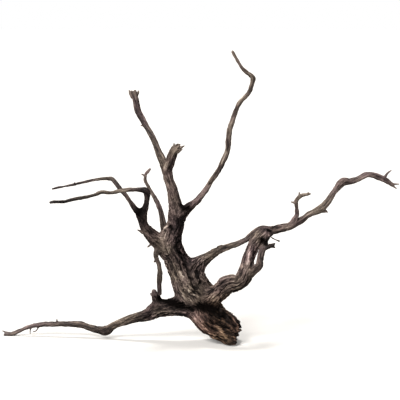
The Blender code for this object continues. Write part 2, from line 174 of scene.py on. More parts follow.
# Small spurs, torn splinters and loose fibres: the piece that carries each, and its stations.
SPURS = {
    "root_spike": ("left_root", [(-219, 32, 16, 1.8), (-220, 31, 20, 1.4), (-220, 30, 23, 0.7)]),
    "root_curl": ("left_root", [
        (-244, 34, 13, 1.4), (-246, 33, 9, 0.9), (-248, 32, 7, 0.8), (-251, 31, 6.5, 0.6),
    ]),
    "root_hook": ("left_root", [(-254, 34, 11, 1.3), (-255, 33, 8, 0.8), (-255, 32, 4, 0.6)]),
    "root_tip_high": ("left_root", [(-283, 36, 3, 1.9), (-287, 36, 4.4, 1.3), (-291, 36, 6.4, 0.7)]),
    "root_tip_low": ("left_root", [(-283, 36, 2, 1.9), (-289, 35, 1.2, 0.9)]),
    "snag_tip": ("left_root", [(-94, 4, 63, 1.9), (-95, 4, 66, 1.0)]),
    "snag_corner": ("left_root", [(-97, 4, 61, 1.6), (-98, 4, 62.5, 0.9)]),
    "stump_shard_high": ("trunk", [(-8, -10, 43, 3.4), (2, -9, 37, 2.8), (9.5, -8, 29.5, 0.9)]),
    "stump_shard_long": ("trunk", [(1, -13, 36, 3.2), (8, -11, 27, 2.6), (12.5, -10, 17.5, 0.8)]),
    "stump_shard_low": ("trunk", [(-2, -16, 33, 3), (5, -14, 24, 2.4), (9.5, -13, 16, 0.8)]),
    "stump_tooth_1": ("trunk", [(-2, -4, 42, 2.4), (3, -4, 40, 1.8), (9, -4, 37, 0.7)]),
    "stump_tooth_2": ("trunk", [(1, -7, 38, 2.4), (6, -7, 35.5, 1.8), (12, -6, 31.5, 0.7)]),
    "stump_tooth_3": ("trunk", [(4, -5, 29, 2.4), (9, -5, 26.5, 1.8), (14, -5, 23.5, 0.7)]),
    "stump_tooth_4": ("trunk", [(4, -9, 25, 2.4), (9, -9, 22, 1.8), (14.5, -9, 17.5, 0.7)]),
    "stump_toe": ("trunk", [(-6, -13, 10, 6), (2, -18, 5.4, 4.6), (7, -18, 4.4, 3.4)]),
    "fork_thorn": ("left_fork_limb", [
        (-107, -10, 143, 2.2), (-110, -11, 145, 1.5), (-113, -12, 146.5, 0.8),
    ]),
    "fork_nub": ("trunk", [(-93, -2, 129, 2.4), (-98, -4, 126, 1.5), (-101, -6, 124, 0.8)]),
    "twig_knot": ("hanging_twig", [(-89.5, -6, 109, 2.4), (-91.5, -6, 106.5, 1.9), (-93, -6, 105, 0.9)]),
    "twig_bulge": ("hanging_twig", [(-86, -5, 92, 2.4), (-84, -5, 89.5, 1.5)]),
    "twig_thorn": ("inner_twig", [(-104, 18, 210, 1.6), (-107, 18, 212, 1.1), (-109, 18, 213, 0.7)]),
    "limb_thorn": ("tall_left_limb", [(-104, 21, 273, 2.2), (-107, 21, 274, 1.4), (-109.5, 21, 274, 0.8)]),
    "top_splinter": ("tall_left_limb", [
        (-121, 36, 309, 2.6), (-123, 37, 313.5, 2.1), (-125, 38, 317, 0.9),
    ]),
    "top_edge": ("tall_left_limb", [(-116, 36, 310, 2.4), (-114, 36, 314, 1.9), (-113, 36, 316.5, 0.9)]),
    "stub_fibre_right": ("torn_stub", [
        (-63, -11, 247, 2.8), (-59, -12, 249.8, 1.9), (-54.8, -14, 252, 0.6),
    ]),
    "stub_fibre_left": ("torn_stub", [
        (-67, -9, 247, 2.6), (-67.5, -11, 251, 1.7), (-67.6, -12, 255, 0.6),
    ]),
    "stub_fibre_top": ("torn_stub", [
        (-64, -11, 248, 2.4), (-62, -13, 251.5, 1.5), (-60.5, -14, 254, 0.6),
    ]),
    "stub_fibre_low": ("torn_stub", [
        (-63, -11, 244, 2.2), (-60, -13, 246, 1.4), (-57.5, -13, 247.5, 0.6),
    ]),
    "limb_drip": ("long_right_limb", [
        (116, 45, 163, 4.2), (122.5, 46, 162.6, 3.4), (128.4, 46, 160.4, 0.8),
    ]),
    "end_spike_high": ("long_right_limb", [
        (204, 73, 201, 2.7), (208, 72, 207, 1.6), (213, 71, 211.5, 0.7),
    ]),
    "end_spike": ("long_right_limb", [(214, 75, 193, 1.8), (219, 75, 193, 1.2), (224, 75, 193, 0.7)]),
    "end_spike_low": ("long_right_limb", [
        (214, 75, 192, 1.8), (217, 75, 190, 1.4), (220.5, 74, 187.5, 0.8),
    ]),
    "twig_bud": ("upright_twig", [(90.5, 21, 184, 1.8), (90, 21, 189.5, 0.7)]),
    "twig_barb": ("upright_twig", [(84, 23, 176, 1.4), (80, 22, 177, 0.7)]),
    "twig_tip": ("upright_twig", [(100, 17, 187, 1.4), (101, 16, 190, 0.7)]),
    "loose_fibre": ("long_right_limb", [
        (49, 9, 136.5, 2.0), (53, 3, 135.6, 1.1), (56, -3, 134.4, 0.8), (59.5, -8, 133.4, 0.7),
        (63, -12, 132.6, 1.1),
    ]),
    "prong_knob": ("left_upper_prong", [(-192, 9, 201.4, 1.4), (-193, 8.5, 203.2, 0.8)]),
    "prong_end": ("left_lower_prong", [(-209, -79, 191.3, 1.5), (-213, -81, 190.8, 1.6)]),
    "knuckle_fork_high": ("long_right_limb", [(52, -6, 126, 2.3), (57.5, -11, 129, 1.1)]),
    "knuckle_fork_low": ("long_right_limb", [(52, -6, 125, 2.3), (57.5, -11, 124.5, 1.1)]),
}

# How softly each limb melts into the wood it leaves: softness at lengths along it.
WEBS = {
    "stem": [(0, 0)],
    "right_limb": [(0, 6), (20, 11), (40, 18), (56, 18), (68, 11), (80, 4), (92, 0)],
    "left_root": [(0, 9), (25, 8), (50, 5), (80, 1)],
    "right_arm": [(0, 7), (25, 5), (60, 1), (110, 0), (122, 2.5)],
    "arm_prong": [(0, 4), (16, 2.5), (30, 0), (48, 1), (60, 3)],
    "knuckle_spur": [(0, 3), (8, 2), (14, 0)],
    "tall_right": [(0, 6), (12, 5), (24, 2), (34, 0)],
    "torn_stub": [(0, 3), (10, 2), (20, 0)],
    "left_fork": [(0, 7), (18, 6), (30, 2.5), (45, 0)],
    "left_lower": [(0, 5), (10, 4), (20, 1), (30, 0)],
    "inner_twig": [(0, 5), (10, 5), (20, 1.5), (30, 0)],
    "hanging_twig": [(0, 4), (10, 3), (18, 0)],
    "upright_twig": [(0, 3), (8, 2), (15, 0.5), (22, 0)],
    "root_snag": [(0, 5), (14, 4), (22, 0)],
}
SPUR_WEB = [(0, 1.6), (8, 0.4)]
# Torn ends: how far splinters stand out or break back, and how wide they are.
TORN = {"stem": {"start": (5.0, 5.2), "end": (2.6, 2.2)}, "torn_stub": {"end": (4.0, 2.0)}}

# Hollows and ridges worked into the wood: depth (a ridge's is negative), width and route.
CARVINGS = [
    (7.0, 4.2, [(-87, -2, 56), (-78, -5, 54.5), (-70, -7, 52.5), (-62, -9, 50.5)]),  # over the root
    (2.5, 2.4, [(-62, -9, 50.5), (-53, -13, 48)]),
    (9.5, 5.5, [(-38, -17, 47.5), (-30, -17, 48), (-23, -18, 49)]),  # crown hollow
    (3.0, 4.5, [(-16, -20, 51), (-10, -20, 44), (-4, -20, 38)]),
    (3.6, 1.5, [(-64, -5, 127), (-59, -2, 112), (-54, -3, 101), (-51, -7, 93), (-49, -11, 84),
                (-44, -15, 73), (-40, -18, 65)]),  # between the columns
    (-1.8, 3.0, [(-61, -8, 90), (-54, -10, 82), (-48, -14, 72)]),  # pale ridge
    (-1.4, 1.3, [(-66, -8, 121), (-62, -6, 112), (-58, -5, 104)]),
    (-1.8, 3.6, [(-79, -4, 146), (-81, -6, 135), (-80, -8, 124)]),  # pale column
    (2.6, 1.7, [(-72, -5, 149), (-72, -8, 133), (-71, -8, 121), (-66, -7, 108)]),
    (3.2, 2.2, [(-74, -6, 151), (-72, -7, 148)]),  # knot hole
    (-2.6, 5.0, [(-10, -17, 84), (-3, -20, 86), (4, -20, 87)]),  # burl on the arm
    (1.8, 1.5, [(-12, -23, 80), (-6, -27, 86), (1, -29, 89), (8, -27, 88)]),  # folds on it
    (1.8, 1.5, [(-9, -26, 76), (-1, -29, 80), (6, -29, 84), (11, -27, 89)]),
    (1.4, 1.4, [(-6, -27, 83), (1, -30, 85)]),
    (2.6, 2.2, [(18, -27, 91)]),  # pits on the wrist
    (2.0, 1.8, [(24, -26, 90)]),
    (2.6, 1.5, [(21, -18, 112), (19, -22, 104)]),  # slots on the prong
    (2.2, 1.5, [(29, -18, 106), (29, -22, 100)]),
    (1.8, 1.3, [(28, -4, 132), (35, 2, 139), (45, 3, 143), (56, 8, 143)]),  # knuckle's grain
    (1.6, 1.2, [(31, -5, 127), (40, -1, 134), (49, 1, 138)]),
    (4.0, 2.0, [(53, 6, 142)]),  # its pits
    (4.5, 3.0, [(51, 3, 132), (48, 0, 131), (44, -5, 128)]),
    (1.8, 1.2, [(57, 17, 146), (57, 8, 139)]),  # where the limb leaves
    (-1.5, 1.2, [(-26, -18, 59), (-19, -20, 70), (-13, -23, 80)]),  # strips on the arm
    (-1.3, 1.1, [(-22, -18, 58), (-16, -22, 69)]),
    (-1.6, 1.6, [(-13, 12, 122), (-8, 12, 124)]),  # step on the limb
    (1.3, 1.2, [(-29, 5, 114), (-10, 9, 121), (9, 13, 127), (25, 14, 133)]),  # its long groove
    (1.4, 1.2, [(66, 18, 144), (85, 24, 148), (103, 33, 159), (122, 40, 169)]),
    (1.3, 1.2, [(130, 43, 181), (143, 48, 196), (160, 55, 199), (182, 63, 207)]),
    (1.2, 1.1, [(-61, -4, 168), (-47, -12, 177), (-29, -20, 197), (-13, -33, 223)]),
    (1.3, 1.2, [(-72, -6, 182), (-76, -5, 207), (-80, -2, 220)]),
    (1.1, 1.0, [(-86, 2, 237), (-94, 8, 257), (-109, 18, 282), (-117, 28, 304)]),
    (1.4, 1.2, [(-93, -1, 41), (-110, 5, 32), (-128, 11, 25), (-150, 15, 12)]),
    (3.0, 3.0, [(-12, -22, 30), (2, -24, 20), (12, -22, 12)]),  # gullies in the stump
    (2.4, 1.8, [(-22, -21, 32), (-8, -24, 18), (3, -24, 8)]),
    (2.4, 1.8, [(-6, -18, 38), (6, -20, 28), (16, -18, 20)]),
    (3.0, 6.0, [(-8, 0, 53), (2, 2, 45), (12, 3, 35)]),  # its upper edge
    (4.0, 5.0, [(19, -6, 28), (19, 5, 26)]),
]

# Stains, painted shade and painted highlights: how pale (or, under 0, how dark) the wood is there, how
# wide, and the route.
STAINS_AND_PAINTED_LIGHT = [
    (0.7, 6.0, [(-81, -3, 149), (-80, -8, 138), (-79, -9, 126), (-77, -9, 118)]),  # left column
    (0.5, 4.0, [(-61, -9, 90), (-54, -12, 82), (-48, -15, 72)]),  # ridge
    (0.5, 1.2, [(-66, -9, 121), (-62, -7, 112), (-58, -6, 104)]),
    (1.8, 2.2, [(26, -12, 119), (25, -16, 114), (23, -21, 106)]),  # scar on the prong
    (1.7, 5.5, [(-41, -15, 36), (-36, -17, 30), (-28, -19, 21)]),  # pale worn wood on the stump, brightened further as painted light where it faces down
    (0.9, 5.0, [(-22, -19, 17), (-14, -20, 12), (-6, -18, 4)]),
    (1.3, 1.8, [(-18, -21, 32), (-10, -21, 21), (-3, -19, 11)]),  # its fibres
    (1.1, 1.4, [(-8, -17, 32), (0, -17, 27), (8, -16, 17)]),
    (0.9, 1.3, [(0, -15, 34), (6, -16, 27), (11, -14, 21)]),
    (0.7, 1.3, [(-26, -19, 59), (-19, -21, 70), (-13, -24, 80)]),  # strips on the arm
    (0.5, 1.1, [(-22, -19, 58), (-16, -23, 69)]),
    (0.5, 6.0, [(6, -27, 84), (15, -28, 89), (23, -26, 96)]),  # wrist
    (-0.5, 5.0, [(8, -24, 73), (16, -25, 78), (24, -22, 86)]),  # below it
    (0.3, 7.0, [(-72, -7, 172), (-74, -6, 190), (-77, -6, 205), (-79, -4, 218)]),  # upper stem
    (0.9, 2.6, [(-78, -6, 230), (-79, -4, 223)]),  # its fork
    (0.5, 4.0, [(-70, -10, 237), (-66, -14, 249)]),  # torn stub
    (0.5, 6.0, [(8, -72, 360), (3, -75, 370)]),  # tips
    (0.5, 4.0, [(-119, 33, 314)]),
    (0.5, 5.0, [(-105, 20, 206), (-98, 20, 219)]),
    (0.35, 16.0, [(60, 22, 141), (92, 30, 151), (126, 44, 171), (158, 56, 198), (214, 72, 193)]),
    (0.5, 4.0, [(100, 32, 158), (112, 38, 164)]),
    (1.3, 2.0, [(-44, -12, 181), (-36, -15, 189), (-29, -19, 197), (-25, -22, 203)]),  # painted highlights along the tall limb's lit left edge
    (1.4, 1.8, [(-9, -37, 233), (-6, -39, 240), (-4, -42, 247)]),
    (0.5, 3.0, [(0, -52, 276), (4, -55, 288)]),
    (0.5, 1.3, [(-81, 2, 236), (-90, 9, 257), (-104, 19, 281), (-113, 29, 303)]),  # grooves' edges
    (-0.5, 1.3, [(-86, 2, 237), (-94, 8, 257), (-109, 18, 282), (-117, 28, 304)]),
    (-1.3, 5.0, [(-86, 4, 56), (-80, 4, 54), (-71, -2, 52), (-59, -4, 48)]),  # painted shade in the crease over the root
    (-0.8, 4.0, [(-54, -8, 48), (-45, -12, 48)]),
    (-1.2, 5.0, [(-36, -14, 50), (-29, -14, 48), (-20, -15, 46)]),  # painted shade in the crown hollow
    (-0.5, 4.0, [(-15, -14, 45), (-8, -15, 36)]),
    (-0.5, 4.0, [(2, -15, 35), (7, -14, 27)]),  # torn edge
    (1.8, 2.4, [(7, -15, 33), (12, -9, 25), (12, -15, 20)]),
    (-0.4, 6.0, [(-18, -17, 40), (-8, -13, 42), (0, -16, 32)]),
    (-1.0, 1.4, [(-54, -1, 101), (-51, -4, 91), (-48, -9, 82), (-42, -14, 70)]),  # painted shade in the slit
    (-0.45, 5.0, [(-63, -5, 156), (-62, -5, 139), (-64, -6, 120), (-58, -4, 108)]),  # shaded side
    (-0.35, 7.0, [(-56, 0, 160), (-57, 0, 138), (-55, 0, 120)]),
    (-1.3, 3.6, [(-58, -4, 176), (-55, -8, 173), (-50, -9, 174)]),  # painted shade in the crotches
    (-0.9, 4.0, [(-110, -19, 173), (-112, -21, 168)]),
    (-0.5, 6.0, [(-106, -37, 199), (-100, -34, 196), (-101, -27, 185), (-106, -20, 172)]),
    (-0.35, 14.0, [(-120, -18, 181), (-150, -8, 211), (-220, 20, 194)]),  # left prongs
    (-0.4, 14.0, [(-145, -50, 199), (-180, -66, 195), (-212, -80, 191)]),
    (-1.1, 2.6, [(-73, -4, 150), (-71, -4, 147)]),  # painted shade in the knot hole
    (-1.3, 3.8, [(42, 1, 132), (46, -1, 129), (49, 1, 129)]),  # painted shade under the knuckle
    (-0.8, 4.5, [(54, 3, 133), (49, -8, 125), (55, -10, 127)]),
    (0.6, 4.5, [(34, -4, 136), (40, 0, 139), (46, 3, 138), (50, 5, 138)]),  # on it
    (-1.5, 2.4, [(50, 8, 144), (53, 10, 142)]),  # painted shade in its pits
    (-1.5, 1.8, [(54, 9, 135)]),
    (-0.4, 4.0, [(53, 3, 135), (59, -7, 134), (63, -12, 132)]),  # loose fibre
    (-0.4, 6.0, [(-89, -6, 112), (-86, -6, 92), (-87, -4, 66)]),  # hanging twig
    (-0.35, 7.0, [(-45, 1, 92), (-41, -6, 78), (-36, -14, 66)]),
    (-0.3, 9.0, [(-37, 0, 102), (-34, -4, 89), (-30, -8, 76)]),  # right limb's foot
    (-0.25, 12.0, [(-72, -5, 40), (-92, 0, 36), (-112, 6, 28)]),  # root
    (-0.3, 12.0, [(-150, 15, 14), (-180, 24, 14), (-215, 31, 16)]),
]

SAMPLE = 0.8  # spacing of a limb's samples
MIN_WEB = 0.3  # softness of the sharpest joint between limbs
MELT_REACH = 12.0  # limbs farther than this don't melt together
FADE = 2.5  # a carving or stain ends at this many widths
STUMP_WIDENING = 1.32  # the stump's width front to back, over its width side to side
STUMP_FADE = 40.0  # the widening fades over this length
BLOCK = 12  # voxels along a block's side
CELL = 12.0  # points on the surface are read in groups this wide
SLACK = 3.5  # how far the surface may lie from the bare tubes
FAR = 20.0  # distance given to limbs out of reach
STRIDE = 4000  # blocks measured at a time
MELT_SHADE = 0.4  # how sunk a melted joint counts, over how much was added to it
BROADEST = 1.35  # a limb's broadest reach, over its radius
USUAL = 1.1  # its usual reach, over its radius
EDGE = 4.0  # room left round a piece
CUT_SPREAD = 1.7  # a saw cut reaches this many radii from its middle
CUT_SLACK = 2.0  # and this much farther, where the limb's own skin is as near
NUDGE = 0.2  # the farthest that a meshed point is moved to lie on the surface
BAND = 3.0  # voxels kept on each side of the surface
FLOOR_FACE = 0.05  # the wood's lowest point over the floor


# --- Vectors and noise ---

def lengths(vectors):
    """The length of each row of vectors."""
    return np.linalg.norm(vectors, axis=1)


def unit(vectors):
    """Rows of vectors, each scaled to a length of 1."""
    return vectors / np.maximum(lengths(vectors), 1e-12)[:, None]


GAIN = 1.6  # brings the noise to about -1 to 1
shuffle = np.random.default_rng(41)
PERMUTATION = np.tile(shuffle.permutation(256), 3)
DIRECTIONS = unit(shuffle.normal(size=(256, 3))).astype(np.float32)


def noise(points, seed=0):
    """Smooth random numbers, from about -1 to 1, one lump to a unit of length."""
    q = np.asarray(points, np.float32)
    cell = np.floor(q).astype(np.int64)
    part = q - cell
    ease = part * part * part * (part * (part * 6 - 15) + 10)
    cell &= 255
    weight = (1 - ease, ease)
    total = np.zeros(len(q), np.float32)
    for dx in (0, 1):
        row = PERMUTATION[(cell[:, 0] + dx + seed) & 255]
        for dy in (0, 1):
            column = PERMUTATION[row + ((cell[:, 1] + dy) & 255)]
            for dz in (0, 1):
                slope = DIRECTIONS[PERMUTATION[column + ((cell[:, 2] + dz) & 255)]]
                lean = ((part[:, 0] - dx) * slope[:, 0] + (part[:, 1] - dy) * slope[:, 1]
                        + (part[:, 2] - dz) * slope[:, 2])
                total += weight[dx][:, 0] * weight[dy][:, 1] * weight[dz][:, 2] * lean
    return total * GAIN


def lattice(*axes):
    """Every point of a lattice, as rows, from the numbers along its axes."""
    return np.stack(np.meshgrid(*axes, indexing="ij"), -1).reshape(-1, len(axes))


def smooth(low, high, value):
    """A soft step from 0 at low to 1 at high."""
    t = np.clip((value - low) / (high - low), 0, 1)
    return t * t * (3 - 2 * t)


# --- Limbs ---

def catmull_rom(stations):
    """Samples along a smooth curve through the stations, and where each station lies in them."""
    points = np.array(stations, float)
    last = len(points) - 1
    stretches = []
    starts = []
    count = 0
    for i in range(last):
        a, b, c, d = (points[min(max(k, 0), last)] for k in (i - 1, i, i + 1, i + 2))
        steps = max(2, round(np.linalg.norm(c[:3] - b[:3]) / SAMPLE))
        t = (np.arange(steps) / steps)[:, None]
        stretches.append(0.5 * (2 * b + (c - a) * t + (2 * a - 5 * b + 4 * c - d) * t ** 2
                                + (3 * b - a - 3 * c + d) * t ** 3))
        starts.append(count)
        count += steps
    starts.append(count)
    return np.vstack(stretches + [points[-1:]]), starts


def make_limb(name, stations, host=""):
    """A limb's samples: centre, radius, length walked, direction and two cross axes."""
    samples, starts = catmull_rom(stations)
    centre = samples[:, :3]
    steps = lengths(np.diff(centre, axis=0))
    walked = np.concatenate([[0.0], np.cumsum(steps)])
    along = unit(np.gradient(centre, walked, axis=0))
    side = np.empty_like(along)
    axis = np.array((0.0, 1.0, 0.0))
    for n, direction in enumerate(along):
        axis = axis - direction * (axis @ direction)
        axis /= np.linalg.norm(axis)
        side[n] = axis
    return {
        "name": name, "host": host, "centre": centre, "radius": samples[:, 3], "walked": walked,
        "slope": np.gradient(samples[:, 3], walked), "along": along, "side": side,
        "up": np.cross(along, side), "starts": starts,
        "web": np.array(WEBS.get(name, SPUR_WEB), float), "phase": shuffle.uniform(0, 2 * np.pi, 4),
        "torn": TORN.get(name, {}),
    }


LIMBS = [make_limb(name, stations) for name, stations in ROUTES.items()]
LIMBS += [make_limb(name, stations, host) for name, (host, stations) in SPURS.items()]
NUMBERS = {limb["name"]: n for n, limb in enumerate(LIMBS)}
ALL_CENTRES = np.vstack([limb["centre"] for limb in LIMBS])
ALL_RADII = np.concatenate([limb["radius"] for limb in LIMBS])
FIRSTS = np.concatenate([[0], np.cumsum([len(limb["radius"]) for limb in LIMBS])])


def traced(features):
    """Carvings or stains with their routes as smooth curves."""
    return [(strength, width, catmull_rom([(*point, 0) for point in route])[0][:, :3])
            for strength, width, route in features]


CARVED = traced(CARVINGS)
TRACED_STAINS_AND_LIGHT = traced(STAINS_AND_PAINTED_LIGHT)


def falloff(points, route, width):
    """How near points lie to a route: 1 on it, and little at twice the width."""
    square = ((points[:, None] - route) ** 2).sum(2).min(1)
    return np.exp(-square / width ** 2)


LOBES = ((2, 0.6, 61), (3, 0.6, -43), (5, 0.45, 33), (8, 0.3, -27))  # how many, depth and twist


def lobes(limb, angle, walked, radius):
    """The outline of a limb's section, as its radius over the mean radius."""
    depth = np.interp(radius, (1.0, 2.5, 6.0, 16.0), (0.0, 0.05, 0.06, 0.045))
    return 1 + depth * sum(share * np.cos(count * angle + phase + walked / twist)
                           for (count, share, twist), phase in zip(LOBES, limb["phase"]))


def fray(reach, width, across, over):
    """How far the splinters of a torn end stand out at points of its section."""
    section = np.stack([across, over, np.zeros_like(across)], -1)
    return reach * (1.1 * noise(section / width, 3) + 0.6 * noise(section * 2.3 / width, 5) + 0.1)


def read_limb(limb, points, rows):
    """Where points lie by a limb: distance to its skin, length along it, angle and radius."""
    centres = limb["centre"][rows]
    square = (centres ** 2).sum(1) - 2 * points @ centres.T
    nearest = rows[np.argmin(square, axis=1)]
    offset = points - limb["centre"][nearest]
    along = limb["along"][nearest]
    ahead = np.einsum("ij,ij->i", offset, along)
    last = len(limb["radius"]) - 1
    torn = limb["torn"]
    low = np.where(nearest == 0, -torn["start"][0] * 2 if "start" in torn else 0.0, -SAMPLE)
    high = np.where(nearest == last, torn["end"][0] * 2 if "end" in torn else 0.0, SAMPLE)
    ahead = np.clip(ahead, low, high)
    offset = offset - ahead[:, None] * along
    walked = limb["walked"][nearest] + ahead
    radius = limb["radius"][nearest] + limb["slope"][nearest] * np.clip(ahead, -SAMPLE, SAMPLE)
    if limb["name"] == "stem":
        wide = 1 + (STUMP_WIDENING - 1) * np.clip(1 - walked / STUMP_FADE, 0, 1)
        offset[:, 1] /= wide
    across = np.einsum("ij,ij->i", offset, limb["side"][nearest])
    over = np.einsum("ij,ij->i", offset, limb["up"][nearest])
    angle = np.arctan2(over, across)
    gap = lengths(offset) - radius * lobes(limb, angle, walked, radius)
    for end, (reach, width) in torn.items():
        beyond = -walked if end == "start" else walked - limb["walked"][-1]
        gap = np.where(beyond > -2 * reach,
                       np.maximum(gap, beyond - fray(reach, width, across, over)), gap)
    return gap, walked, angle, radius


def survey(points, middle, reach):
    """The wood's field at points within reach of a middle, how deep in a crotch or hollow they
    lie, and each limb's reading there."""
    near = lengths(ALL_CENTRES - middle) - ALL_RADII < reach + MELT_REACH
    field = np.full(len(points), FAR)
    sunk = np.zeros(len(points))
    readings = []
    for n, limb in enumerate(LIMBS):
        rows = np.flatnonzero(near[FIRSTS[n]:FIRSTS[n + 1]])
        if not len(rows):
            continue
        reading = read_limb(limb, points, rows)
        gap = reading[0]
        soft = np.maximum(np.interp(reading[1], *limb["web"].T), MIN_WEB)
        overlap = np.maximum(soft - np.abs(field - gap), 0) / soft
        melt = overlap ** 2 * soft * 0.25
        field = np.minimum(field, gap) - melt
        sunk += melt * MELT_SHADE
        readings.append((n, reading))
    for depth, width, route in CARVED:
        if lengths(route - middle).min() > reach + FADE * width:
            continue
        bite = depth * falloff(points, route, width)
        field += bite
        sunk += bite
    return field, sunk, readings


def study(points):
    """The field at points on the surface, how sunk they are, and every limb's reading there."""
    field = np.full(len(points), FAR)
    sunk = np.zeros(len(points))
    table = np.zeros((4, len(points), len(LIMBS)), np.float32)
    table[0] = FAR
    _, group = np.unique(np.floor(points / CELL).astype(int), axis=0, return_inverse=True)
    group = group.ravel()
    order = np.argsort(group, kind="stable")
    for members in np.split(order, np.flatnonzero(np.diff(group[order])) + 1):
        some = points[members]
        middle = some.mean(0)
        reach = lengths(some - middle).max()
        field[members], sunk[members], readings = survey(some, middle, reach)
        for n, reading in readings:
            table[:, members, n] = reading
    return field, sunk, table


# --- Meshing a piece ---

def active_blocks(piece, voxel):
    """The blocks of voxels that a piece's surface may cross, as whole numbers of blocks."""
    size = voxel * BLOCK
    half = size * 3 ** 0.5 / 2
    parts = []
    for route, first, last in PIECES[piece]:
        limb = LIMBS[NUMBERS[route]]
        parts.append((limb, slice(limb["starts"][first], limb["starts"][last] + 1)))
    parts += [(limb, slice(None)) for limb in LIMBS if limb["host"] == piece]
    centres = np.vstack([limb["centre"][part] for limb, part in parts])
    radii = np.concatenate([limb["radius"][part] for limb, part in parts])
    margin = radii[:, None] * BROADEST + SLACK + EDGE
    low = np.floor((centres - margin) / size).astype(int).min(0)
    high = np.floor((centres + margin) / size).astype(int).max(0)
    grid = lattice(*(np.arange(a, b + 1) for a, b in zip(low, high)))
    middles = (grid + 0.5) * size
    gaps = np.empty(len(grid))
    for start in range(0, len(grid), STRIDE):
        some = middles[start:start + STRIDE]
        square = (some ** 2).sum(1)[:, None] - 2 * some @ centres.T + (centres ** 2).sum(1)
        gaps[start:start + STRIDE] = (np.sqrt(np.maximum(square, 0)) - radii * USUAL).min(1)
    keep = (gaps < half + SLACK) & (gaps > -half - SLACK)
    for _, width, route in CARVED:
        distance = np.min([lengths(middles - p) for p in route], axis=0)
        keep |= (distance < half + 1.5 * width) & (gaps < half)
    return grid[keep], size, half


def extract(piece):
    """The raw surface round a piece, as points and quads."""
    voxel = OTHER_VOXELS.get(piece, VOXEL)
    blocks, size, half = active_blocks(piece, voxel)
    band = BAND * voxel
    grid = vdb.FloatGrid()
    grid.background = band
    steps = np.arange(BLOCK)
    local = lattice(steps, steps, steps)
    for block in blocks:
        corner = block * BLOCK
        field = survey((corner + local) * voxel, (block + 0.5) * size, half)[0]
        field = np.clip(field, -band, band).astype(np.float32)
        grid.copyFromArray(field.reshape(BLOCK, BLOCK, BLOCK), ijk=tuple(int(c) for c in corner))
    grid.signedFloodFill()
    points, quads = grid.convertToQuads(isovalue=0.0)
    return points.astype(float) * voxel, quads.astype(np.int64)


def split_quads(points, quads):
    """Two triangles for each quad, parted along its shorter diagonal."""
    a, b, c, d = quads.T
    short = (lengths(points[a] - points[c]) < lengths(points[b] - points[d]))[:, None]
    first = np.where(short, quads[:, [0, 1, 2]], quads[:, [0, 1, 3]])
    second = np.where(short, quads[:, [0, 2, 3]], quads[:, [1, 2, 3]])
    return np.vstack([first, second])


def vertex_normals(points, triangles):
    """Each point's outward direction."""
    a, b, c = (points[triangles[:, k]] for k in range(3))
    face = np.cross(b - a, c - a)
    total = np.zeros_like(points)
    for k in range(3):
        for axis in range(3):
            total[:, axis] += np.bincount(triangles[:, k], face[:, axis], len(points))
    return unit(total)


def saw_level(piece, points, table):
    """How far points lie inside a piece: over 0 on it, under 0 on its neighbours."""
    gap, walked = table[:2]
    nearest = gap.argmin(1)
    reached = walked[np.arange(len(points)), nearest]
    inside = np.isin(nearest, [n for n, limb in enumerate(LIMBS) if limb["host"] == piece])
    plane = np.full(len(points), np.inf)
    for route, first, last in PIECES[piece]:
        number = NUMBERS[route]
        limb = LIMBS[number]
        cuts = []
        own = nearest == number
        if first > 0:
            cuts.append((limb["starts"][first], 1.0))
            own &= reached >= limb["walked"][limb["starts"][first]]
        if last < len(ROUTES[route]) - 1:
            cuts.append((limb["starts"][last], -1.0))
            own &= reached <= limb["walked"][limb["starts"][last]]
        inside |= own
        for at, sign in cuts:
            arm = points - limb["centre"][at]
            close = lengths(arm) < limb["radius"][at] * CUT_SPREAD + CUT_SLACK
            close &= np.abs(gap[:, number]) < CUT_SLACK
            level = sign * (arm @ limb["along"][at])
            plane = np.where(close, np.minimum(plane, level), plane)
    return np.where(np.isinf(plane), np.where(inside, FAR, -FAR), plane)


def saw(rows, triangles, level):
    """Cuts a mesh where level is 0 and drops the triangles under it. Each point's values are a
    row, and the rows of the cut's points are added after the old ones."""
    inside = level >= 0
    count = inside[triangles].sum(1)
    whole = triangles[count == 3]
    parts = triangles[(count == 1) | (count == 2)]
    some = inside[parts]
    odd = np.where(some.sum(1) == 1, some.argmax(1), (~some).argmax(1))
    parts = parts[np.arange(len(parts))[:, None], (odd[:, None] + np.arange(3)) % 3]
    a, b, c = parts.T
    edges = np.sort(np.vstack([parts[:, [0, 1]], parts[:, [0, 2]]]), axis=1)
    edges, where = np.unique(edges, axis=0, return_inverse=True)
    where = where.ravel() + len(rows)
    ab, ac = where[:len(parts)], where[len(parts):]
    start, end = edges.T
    share = (level[start] / (level[start] - level[end]))[:, None]
    cut = rows[start] * (1 - share) + rows[end] * share
    one = inside[a]
    two = ~one
    triangles = np.vstack([
        whole,
        np.stack([a, ab, ac], 1)[one],
        np.stack([ab, b, c], 1)[two],
        np.stack([ab, c, ac], 1)[two],
    ])
    return np.vstack([rows, cut]), triangles


def groups(count, members):
    """A number for each point, equal for points that the members (rows of points) join."""
    label = np.arange(count)
    while True:
        low = label[members].min(1)
        before = label.copy()
        for k in range(members.shape[1]):
            np.minimum.at(label, before[members[:, k]], low)
            np.minimum.at(label, members[:, k], low)
        label = label[label]
        label = label[label]
        if (label == before).all():
            return label


def largest_shell(count, triangles):
    """The points of a mesh's biggest connected part, and its triangles renumbered to them."""
    label = groups(count, triangles)[triangles[:, 0]]
    names, sizes = np.unique(label, return_counts=True)
    used, triangles = np.unique(triangles[label == names[sizes.argmax()]], return_inverse=True)
    return used, triangles.reshape(-1, 3)


